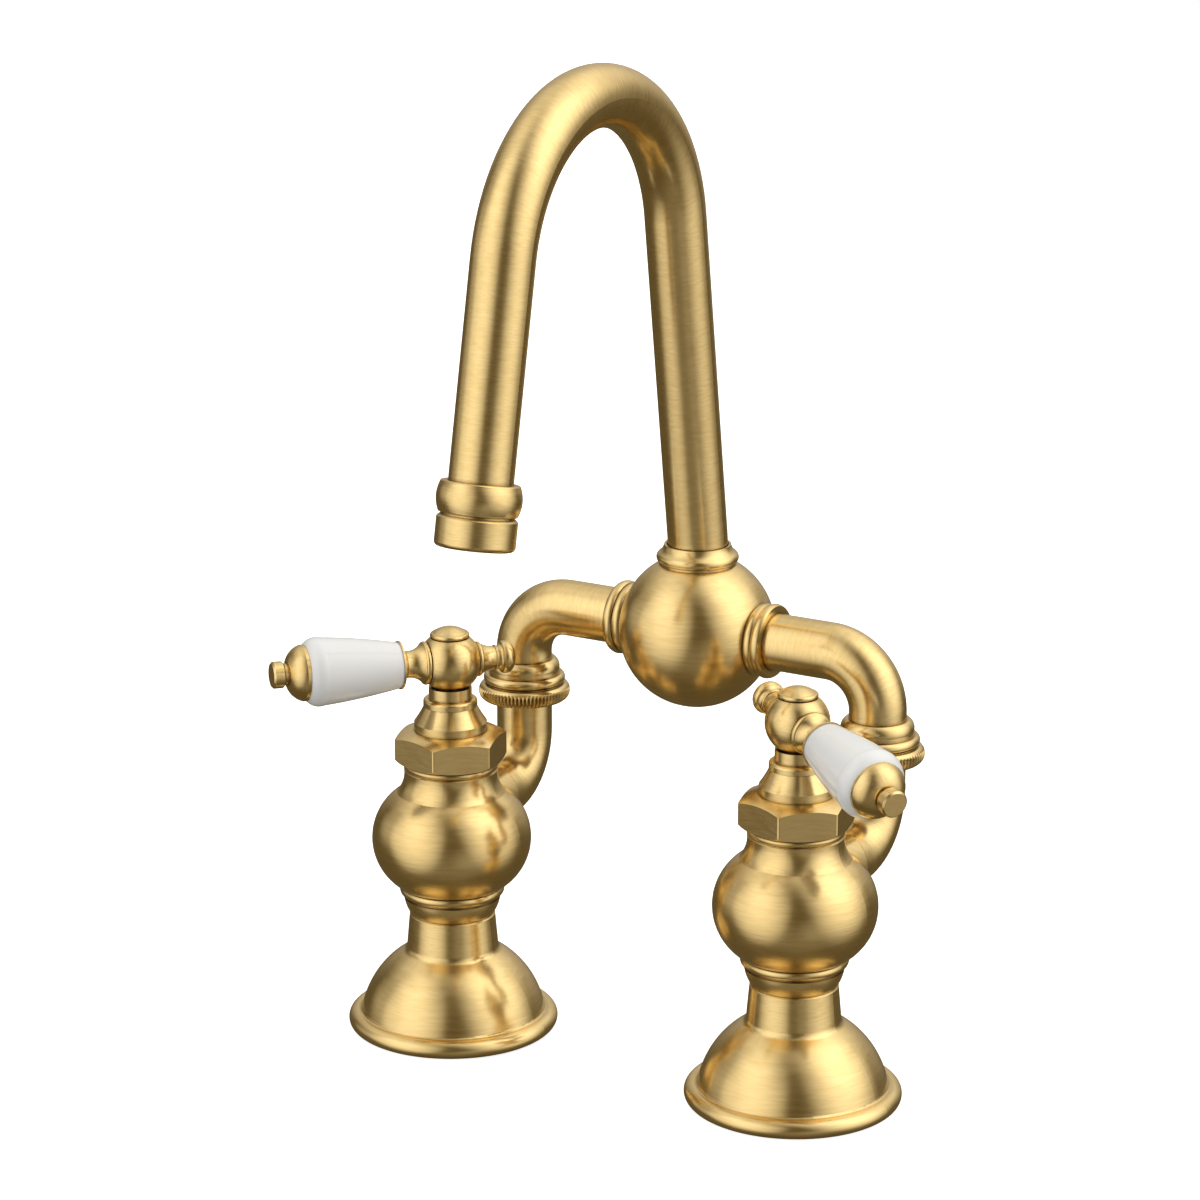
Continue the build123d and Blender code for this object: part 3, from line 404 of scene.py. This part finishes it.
@dataclass(frozen=True)
class SatinBrass:
    """Fine brushed brass: soft streaks that run round each turned piece, and painted shade that darkens the
    crevices between pieces.
    """

    colour: Triple = (0.91, 0.70, 0.343)
    deep: Triple = (0.79, 0.575, 0.252)
    # Painted shade: the dark colour laid into the crevices between pieces.
    seam: Triple = (0.12, 0.07, 0.025)
    roughness: float = 0.25
    uneven: float = 0.05
    streak_pitch: float = 0.80 * MM
    fine_pitch: float = 0.26 * MM
    cloud_pitch: float = 7.0 * MM
    arc_share: float = 2.4
    fine_detail: float = 1.0
    streak_share: float = 0.6
    brush_tone_share: float = 0.75
    tone_low: float = -1.1
    tone_high: float = 2.1
    brush_rough_share: float = 0.6
    relief: float = 0.007 * MM
    # Painted shade between pieces: how far the occlusion reaches, and where the darkening is full and where it is
    # gone.
    seam_reach: float = 1.1 * MM
    seam_dark_at: float = 0.30
    seam_gone_at: float = 0.80
    smear_turn: float = 0.25

    def make(self, name: str, rings: Rings, smear: float = 0.0) -> bpy.types.Material:
        """Make the finish for pieces with one turning axis.

        Args:
            name: The material's name.
            rings: How the brushing lies.
            smear: How far reflections are drawn out along an upright axis, up to one.

        Returns:
            The material.
        """
        material, bench = new_material(name)
        cosine, sine, along = rings.lay(bench)
        arc = self.arc_share
        streaks = bench.grain(
            bench.vector(cosine * arc, sine * arc, along / self.streak_pitch)
        )
        fine = bench.grain(
            bench.vector(cosine * arc * 2, sine * arc * 2, along / self.fine_pitch),
            detail=self.fine_detail,
        )
        cloud = bench.grain(bench.vector(cosine, sine, along / self.cloud_pitch))
        brushed = bench.share(streaks, fine, self.streak_share)
        toned = bench.share(brushed, cloud, self.brush_tone_share)
        tone = bench.spread(toned, self.tone_low, self.tone_high)
        # Painted shade: the base colour turns to the dark shade colour where ambient occlusion finds crevices
        # between pieces.
        joint = bench.spread(
            bench.openness(self.seam_reach), 0.0, 1.0, self.seam_dark_at, self.seam_gone_at
        )
        worn = bench.share(brushed, cloud, self.brush_rough_share)
        rough = bench.spread(worn, self.roughness - self.uneven, self.roughness + self.uneven)
        bench.surface({
            "Base Color": bench.blend(
                joint, self.seam, bench.blend(tone, self.deep, self.colour)
            ),
            "Metallic": 1.0,
            "Roughness": rough,
            "Anisotropic": smear,
            "Anisotropic Rotation": self.smear_turn,
            "Normal": bench.relief(brushed, self.relief),
        })
        return material


@dataclass(frozen=True)
class GlazedPorcelain:
    """White glaze over a faintly uneven body, brightened by a faint painted glow."""

    colour: Triple = (0.93, 0.95, 0.99)
    shade: Triple = (0.91, 0.93, 0.97)
    # Painted light: colour and strength of a faint glow that brightens the glaze.
    own_light: Triple = (0.6, 0.75, 1.0)
    roughness: float = 0.105
    uneven: float = 0.035
    body_scale: float = 90.0
    ripple: float = 0.008 * MM
    ripple_scale: float = 200.0
    ripple_strength: float = 0.5
    glaze: float = 0.5
    glaze_roughness: float = 0.05
    lift: float = 0.07

    def make(self, name: str) -> bpy.types.Material:
        """Make the finish.

        Args:
            name: The material's name.

        Returns:
            The material.
        """
        material, bench = new_material(name)
        where = bench.vector(*bench.here())
        body = bench.grain(where, self.body_scale)
        ripple = bench.grain(where, self.ripple_scale, 1.0)
        bench.surface({
            "Base Color": bench.blend(body, self.shade, self.colour),
            "Roughness": bench.spread(
                body, self.roughness - self.uneven, self.roughness + self.uneven
            ),
            "Coat Weight": self.glaze,
            "Coat Roughness": self.glaze_roughness,
            # Painted light: the glaze glows faintly so that it looks brighter.
            "Emission Color": (*self.own_light, 1.0),
            "Emission Strength": self.lift,
            "Normal": bench.relief(ripple, self.ripple, self.ripple_strength),
        })
        return material


@dataclass(frozen=True)
class PlainFinish:
    """A quiet finish for pieces that hardly show: cast, moulded or machined."""

    name: str
    colour: Triple
    roughness: float
    metallic: float = 0.0
    speck: float = 900.0
    dark_share: float = 0.86
    uneven: float = 0.06
    relief: float = 0.01 * MM
    relief_strength: float = 0.6

    def make(self) -> bpy.types.Material:
        """Make the finish.

        Returns:
            The material.
        """
        material, bench = new_material(self.name)
        speck = bench.grain(bench.vector(*bench.here()), self.speck)
        dark = tuple(self.dark_share * value for value in self.colour)
        bench.surface({
            "Base Color": bench.blend(speck, dark, self.colour),
            "Metallic": self.metallic,
            "Roughness": bench.spread(
                speck, self.roughness - self.uneven, self.roughness + self.uneven
            ),
            "Normal": bench.relief(speck, self.relief, self.relief_strength),
        })
        return material


def dress(node: str, material: bpy.types.Material) -> None:
    """Give a node of the frame its material and report it.

    Args:
        node: The node's name.
        material: The finish.
    """
    for slot in frame["nodes"][node].material_slots:
        slot.material = material
    LOG.info("dressed %s with %s", node, material.name)


def middle(node: str) -> Vector:
    """Middle of a node's box, in metres."""
    low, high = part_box(node)
    return (low + high) / 2


def joint_place(name: str) -> Vector:
    """A joint's point, in metres."""
    places = {joint["name"]: joint["pos_m"] for joint in frame["joints"]}
    return Vector(places[name])


@dataclass(frozen=True)
class SmallParts:
    """Finishes shared by the pieces inside the valves, unions and aerator."""

    rubber: bpy.types.Material
    ceramic: bpy.types.Material
    steel: bpy.types.Material
    plastic: bpy.types.Material
    brass: bpy.types.Material

    @classmethod
    def mixed(cls) -> "SmallParts":
        """Make each finish once.

        Returns:
            The finishes.
        """
        return cls(
            rubber=PlainFinish("black_rubber", (0.03, 0.03, 0.03), 0.6).make(),
            ceramic=PlainFinish("lapped_ceramic", (0.83, 0.82, 0.78), 0.3).make(),
            steel=PlainFinish("turned_steel", (0.6, 0.6, 0.61), 0.3, 1.0).make(),
            plastic=PlainFinish("white_plastic", (0.8, 0.8, 0.78), 0.4).make(),
            brass=PlainFinish("machined_brass", (0.80, 0.60, 0.28), 0.28, 1.0).make(),
        )


@dataclass(frozen=True)
class KnurledNut:
    """Union nut with fine teeth round the lower part of its band."""

    side: Side
    teeth: int = 72
    steps_per_tooth: int = 6
    tooth_depth: float = 0.70 * MM
    bore_r: float = 8.8 * MM
    edge_r: float = 12.7 * MM
    crown_r: float = 14.1 * MM
    thread_r: float = 11.95 * MM
    lip: float = 1.2 * MM
    band_points: int = 20
    tooth_fade: float = 4.0
    sharp_angle: float = 35.0
    band_low: float = 0.02
    band_high: float = 0.84

    def outline(self, height: float) -> list[tuple[float, float]]:
        """Closed outline of the nut, from the foot of the bore.

        Args:
            height: The nut's height.

        Returns:
            Its corners, as radius and height.
        """
        rise = self.crown_r - self.edge_r
        arc_r = height * height / (8 * rise) + rise / 2
        half = math.asin(height / 2 / arc_r)
        band = []
        for place in range(self.band_points + 1):
            angle = half * (2 * place / self.band_points - 1)
            radius = self.crown_r - arc_r + arc_r * math.cos(angle)
            band.append((radius, height / 2 + arc_r * math.sin(angle)))
        inside = [(self.thread_r, height), (self.thread_r, self.lip), (self.bore_r, self.lip)]
        return [(self.bore_r, 0.0), *band, *inside]

    def depth_at(self, share: float) -> float:
        """Depth of the teeth at one height.

        Args:
            share: The height, as a share of the nut's.

        Returns:
            The depth, which fades out at both ends of the toothed band.
        """
        if not self.band_low < share < self.band_high:
            return 0.0
        along = (share - self.band_low) / (self.band_high - self.band_low)
        return self.tooth_depth * min(
            1.0, self.tooth_fade * along, self.tooth_fade * (1 - along)
        )

    def build(self, material: bpy.types.Material) -> None:
        """Build the nut in the place of its node.

        Args:
            material: Its finish.
        """
        node = f"union_nut_{self.side.label}"
        low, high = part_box(node)
        centre = (low + high) / 2
        height = high.z - low.z
        form = bmesh.new()
        loop = [form.verts.new((radius, 0.0, z)) for radius, z in self.outline(height)]
        edges = [form.edges.new((loop[k - 1], loop[k])) for k in range(len(loop))]
        bmesh.ops.spin(
            form, geom=[*loop, *edges], cent=(0, 0, 0), axis=(0, 0, 1), dvec=(0, 0, 0),
            angle=math.tau, steps=self.teeth * self.steps_per_tooth, use_merge=True,
        )
        for vertex in form.verts:
            radius = math.hypot(vertex.co.x, vertex.co.y)
            if radius < self.edge_r:
                continue
            angle = math.atan2(vertex.co.y, vertex.co.x)
            wave = 0.5 - 0.5 * math.cos(self.teeth * angle)
            cut = self.depth_at(vertex.co.z / height) * wave
            vertex.co.x *= 1 - cut / radius
            vertex.co.y *= 1 - cut / radius
        bmesh.ops.translate(form, verts=form.verts, vec=(centre.x, centre.y, low.z))
        bmesh.ops.recalc_face_normals(form, faces=form.faces)
        for face in form.faces:
            face.smooth = True
        mesh = bpy.data.meshes.new(f"knurled_nut_{self.side.label}")
        form.to_mesh(mesh)
        form.free()
        mesh.set_sharp_from_angle(angle=math.radians(self.sharp_angle))
        mesh.materials.append(material)
        nut = bpy.data.objects.new(mesh.name, mesh)
        bpy.context.scene.collection.objects.link(nut)
        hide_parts(node)
        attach(nut, "bridge")
        LOG.info("built %s with %d faces", nut.name, len(mesh.polygons))


@dataclass(frozen=True)
class Leg:
    """One leg: bell, valve body, bonnet and the pipe behind it."""

    side: Side
    brass: SatinBrass = SatinBrass()
    reach: float = 45.5 * MM
    toe: float = 2.9
    bend_r: float = 16.0 * MM
    port_z: float = 66.0 * MM

    def dress(self, small: SmallParts) -> None:
        """Finish every piece of the leg.

        Args:
            small: Finishes of the pieces inside.
        """
        end = self.side.label
        mounts = {mount["name"]: mount["pos_m"] for mount in frame["record"]["mounts"]}
        foot = Vector(mounts[f"inlet_{end}"])
        turned = self.brass.make(f"brushed_leg_{end}", Turning(tuple(foot)), UPRIGHT_SMEAR)
        for piece in ("base_bell", "valve_body", "bonnet_ring", "hex_bonnet_nut", "bonnet_sleeve"):
            dress(f"{piece}_{end}", turned)
        dress(f"tail_pipe_{end}", self.brass.make(f"brushed_tail_{end}", self.tail(foot)))
        dress(f"deck_gasket_{end}", small.rubber)
        dress(f"cartridge_seal_{end}", small.rubber)
        dress(f"cartridge_body_{end}", small.brass)
        dress(f"ceramic_disc_fixed_{end}", small.ceramic)

    def tail(self, foot: Vector) -> BentPipe:
        """Centre line of the tail pipe, from the bulb back and up to the union.

        Args:
            foot: Foot of the valve axis.

        Returns:
            The centre line.
        """
        toe = math.radians(self.toe)
        back = Vector((self.side.value * math.sin(toe), math.cos(toe), 0.0))
        centre = foot + back * (self.reach - self.bend_r)
        centre.z = self.port_z + self.bend_r
        return BentPipe(tuple(centre), (0.0, 0.0, -1.0), tuple(back), self.bend_r, 90.0)


@dataclass(frozen=True)
class Handle:
    """One handle: hub, button, lever and finial."""

    side: Side
    brass: SatinBrass = SatinBrass()

    def dress(self, small: SmallParts, porcelain: bpy.types.Material) -> None:
        """Finish every piece of the handle.

        Args:
            small: Finishes of the pieces inside.
            porcelain: Finish of the grip.
        """
        end = self.side.label
        hub = middle(f"handle_hub_{end}")
        cap = middle(f"lever_end_cap_{end}")
        lever = Turning(tuple(cap), tuple(cap - middle(f"rear_finial_{end}")))
        along = self.brass.make(f"brushed_lever_{end}", lever)
        upright = self.brass.make(f"brushed_hub_{end}", Turning(tuple(hub)), UPRIGHT_SMEAR)
        for piece in ("lever_ferrule", "lever_end_cap", "rear_finial"):
            dress(f"{piece}_{end}", along)
        for piece in ("handle_hub", "index_button"):
            dress(f"{piece}_{end}", upright)
        dress(f"porcelain_lever_{end}", porcelain)
        dress(f"handle_screw_{end}", small.steel)
        dress(f"lever_rod_{end}", small.steel)
        dress(f"cartridge_spindle_{end}", small.brass)
        dress(f"ceramic_disc_moving_{end}", small.ceramic)


@dataclass(frozen=True)
class Bridge:
    """Ball, elbows, unions and collars."""

    brass: SatinBrass = SatinBrass()
    bend_r: float = 16.0 * MM

    def dress(self, small: SmallParts) -> None:
        """Finish every piece of the bridge.

        Args:
            small: Finishes of the pieces inside.
        """
        ball = middle("ball_body")
        upright = self.brass.make("brushed_ball", Turning(tuple(ball)), UPRIGHT_SMEAR)
        dress("ball_body", upright)
        dress("spout_collar", upright)
        for side in Side:
            self.dress_side(side, ball, small)

    def dress_side(self, side: Side, ball: Vector, small: SmallParts) -> None:
        """Finish one side's elbow, collars, nut and washer.

        Args:
            side: The side.
            ball: The ball's centre.
            small: Finishes of the pieces inside.
        """
        end = side.label
        union = joint_place(f"{end}_leg_swing")
        stack = Turning((union.x, union.y, 0.0))
        rings = self.brass.make(f"brushed_union_{end}", stack, UPRIGHT_SMEAR)
        arm = self.brass.make(f"brushed_collar_{end}", Turning(tuple(ball), (1.0, 0.0, 0.0)))
        centre = (union.x - side.value * self.bend_r, union.y, ball.z - self.bend_r)
        elbow = BentPipe(
            centre, (0.0, 0.0, 1.0), (float(side.value), 0.0, 0.0), self.bend_r, 90.0
        )
        KnurledNut(side).build(rings)
        dress(f"union_nut_{end}", rings)
        dress(f"union_collar_{end}", rings)
        dress(f"ball_side_collar_{end}", arm)
        dress(f"bridge_elbow_{end}", self.brass.make(f"brushed_elbow_{end}", elbow))
        dress(f"union_washer_{end}", small.rubber)


@dataclass(frozen=True)
class Spout:
    """Gooseneck and aerator."""

    brass: SatinBrass = SatinBrass()
    lean: float = 8.17
    splay: float = 11.43
    arc_r: float = 47.26 * MM
    arc_y: float = -15.7 * MM
    arc_z: float = 243.6 * MM

    def dress(self, small: SmallParts) -> None:
        """Finish every piece of the spout.

        Args:
            small: Finishes of the pieces inside.
        """
        tip = middle("aerator_housing")
        flow = tip - middle("aerator_collar")
        outlet = self.brass.make("brushed_outlet", Turning(tuple(tip), tuple(flow)))
        dress("aerator_collar", outlet)
        dress("aerator_housing", outlet)
        dress("spout_tube", self.brass.make("brushed_spout", self.centre_line()))
        dress("aerator_insert", small.plastic)
        dress("aerator_washer", small.rubber)
        dress("spout_orings", small.rubber)
        dress("spout_retaining_ring", small.steel)

    def centre_line(self) -> BentPipe:
        """Centre line of the gooseneck, from its rise over to its outlet.

        Returns:
            The centre line.
        """
        lean = math.radians(self.lean)
        rise = (0.0, -math.sin(lean), math.cos(lean))
        start = (0.0, math.cos(lean), math.sin(lean))
        centre = (0.0, self.arc_y, self.arc_z)
        return BentPipe(centre, start, rise, self.arc_r, 180.0 - self.lean - self.splay)


@dataclass(frozen=True)
class Glow:
    """One large soft light, painted on the surroundings."""

    bearing: float
    rise: float
    half_width: float
    half_height: float
    power: float
    softness: float = 1.0

    def paint(self, bench: Bench, way: Sequence[Signal], view_bearing: float) -> Signal:
        """Brightness of the light in a direction.

        Args:
            bench: The world's bench; not used.
            way: The direction.
            view_bearing: The camera's bearing in degrees, which the light's counts from.

        Returns:
            The brightness.
        """
        turn = math.radians(view_bearing + self.bearing)
        rise = math.radians(self.rise)
        facing = Vector((
            math.cos(rise) * math.cos(turn), math.cos(rise) * math.sin(turn), math.sin(rise)
        ))
        level = Vector((-math.sin(turn), math.cos(turn), 0.0))
        upright = facing.cross(level)
        nowhere = (0.0, 0.0, 0.0)
        across = dotted(way, nowhere, level) / math.sin(math.radians(self.half_width))
        up = dotted(way, nowhere, upright) / math.sin(math.radians(self.half_height))
        inside = (1.0 - across * across - up * up).at_least(0.0)
        seen = dotted(way, nowhere, facing) > 0.0
        return inside ** self.softness * seen * self.power


@dataclass(frozen=True)
class Studio:
    """Camera and painted surroundings."""

    camera_place: Triple = (0.59449, -1.00405, 0.47501)
    camera_back: Triple = (0.494028, -0.825139, 0.274009)
    lens: float = 126.0
    sensor: float = 36.0
    far_clip: float = 50.0
    ambient: float = 0.115
    shade: Triple = (1.0, 0.79, 0.41)
    light: Triple = (1.0, 0.985, 0.94)
    floor_half: float = 2.0
    floor_colour: Triple = (0.85, 0.85, 0.85)
    floor_roughness: float = 0.9
    floor_glow: float = 0.82
    glows: tuple[Glow, ...] = (
        Glow(-55.0, 12.0, 46.0, 58.0, 1.15, 0.7),
        Glow(70.0, 22.0, 52.0, 66.0, 1.35),
        Glow(-105.0, 7.0, 30.0, 20.0, 0.40),
        Glow(5.0, -35.0, 60.0, 35.0, 0.12),
        Glow(24.0, -14.0, 24.0, 22.0, 0.16),
        Glow(-103.0, 50.0, 58.0, 33.0, 0.60),
        Glow(165.0, 24.0, 58.0, 40.0, 0.50),
        Glow(-22.0, 100.0, 56.0, 48.0, 0.55),
        Glow(113.0, 52.0, 55.0, 43.0, 0.70),
    )

    def build(self) -> None:
        """Build the whole studio."""
        self.set_camera()
        self.lay_floor()
        self.paint_surroundings()
        settings = bpy.context.scene.view_settings
        settings.view_transform = "Standard"
        settings.look = "None"

    def set_camera(self) -> None:
        """Set the camera at the photograph's viewpoint."""
        data = bpy.data.cameras.new("viewpoint")
        data.sensor_width = self.sensor
        data.lens = self.lens
        data.clip_end = self.far_clip
        holder = bpy.data.objects.new("viewpoint", data)
        bpy.context.scene.collection.objects.link(holder)
        holder.location = self.camera_place
        holder.rotation_euler = Vector(self.camera_back).to_track_quat("Z", "Y").to_euler()
        bpy.context.scene.camera = holder
        LOG.info("set %s", holder.name)

    def lay_floor(self) -> None:
        """Lay the plain pale floor, which neither lights the faucet nor shows in its brass."""
        form = bmesh.new()
        bmesh.ops.create_grid(form, x_segments=1, y_segments=1, size=self.floor_half)
        mesh = bpy.data.meshes.new("pale_floor")
        form.to_mesh(mesh)
        form.free()
        material, bench = new_material("pale_floor")
        bench.surface({
            "Base Color": (*self.floor_colour, 1.0),
            "Roughness": self.floor_roughness,
            "Emission Color": (1.0, 1.0, 1.0, 1.0),
            "Emission Strength": self.floor_glow,
        })
        mesh.materials.append(material)
        floor = bpy.data.objects.new("pale_floor", mesh)
        floor.visible_glossy = False
        floor.visible_diffuse = False
        bpy.context.scene.collection.objects.link(floor)
        LOG.info("laid %s", floor.name)

    def paint_surroundings(self) -> None:
        """Paint soft lights on a dim warm world, with plain white behind the faucet."""
        world = bpy.data.worlds.new("surroundings")
        bpy.context.scene.world = world
        world.use_nodes = True
        bench = Bench(world.node_tree)
        view = math.degrees(math.atan2(self.camera_back[1], self.camera_back[0]))
        way = bench.outward()
        total = self.glows[0].paint(bench, way, view)
        for glow in self.glows[1:]:
            total = total + glow.paint(bench, way, view)
        shade = bench.node(
            "ShaderNodeBackground", None, {0: (*self.shade, 1.0), 1: self.ambient}
        )
        light = bench.node("ShaderNodeBackground", None, {0: (*self.light, 1.0), 1: total})
        white = bench.node("ShaderNodeBackground", None, {0: (1.0, 1.0, 1.0, 1.0)})
        both = bench.node("ShaderNodeAddShader")
        choose = bench.node("ShaderNodeMixShader")
        rays = bench.node("ShaderNodeLightPath")
        output = bench.node("ShaderNodeOutputWorld")
        join = bench.tree.links.new
        join(shade.outputs[0], both.inputs[0])
        join(light.outputs[0], both.inputs[1])
        join(rays.outputs["Is Camera Ray"], choose.inputs[0])
        join(both.outputs[0], choose.inputs[1])
        join(white.outputs[0], choose.inputs[2])
        join(choose.outputs[0], output.inputs[0])
        LOG.info("painted %s with %d glows", world.name, len(self.glows))


def main() -> None:
    """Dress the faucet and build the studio."""
    logging.basicConfig(level=logging.INFO, format="%(name)s: %(message)s")
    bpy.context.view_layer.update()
    Studio().build()
    small = SmallParts.mixed()
    porcelain = GlazedPorcelain().make("white_glaze")
    Bridge().dress(small)
    Spout().dress(small)
    for side in Side:
        Leg(side).dress(small)
        Handle(side).dress(small, porcelain)


if __name__ == "__main__":
    main()
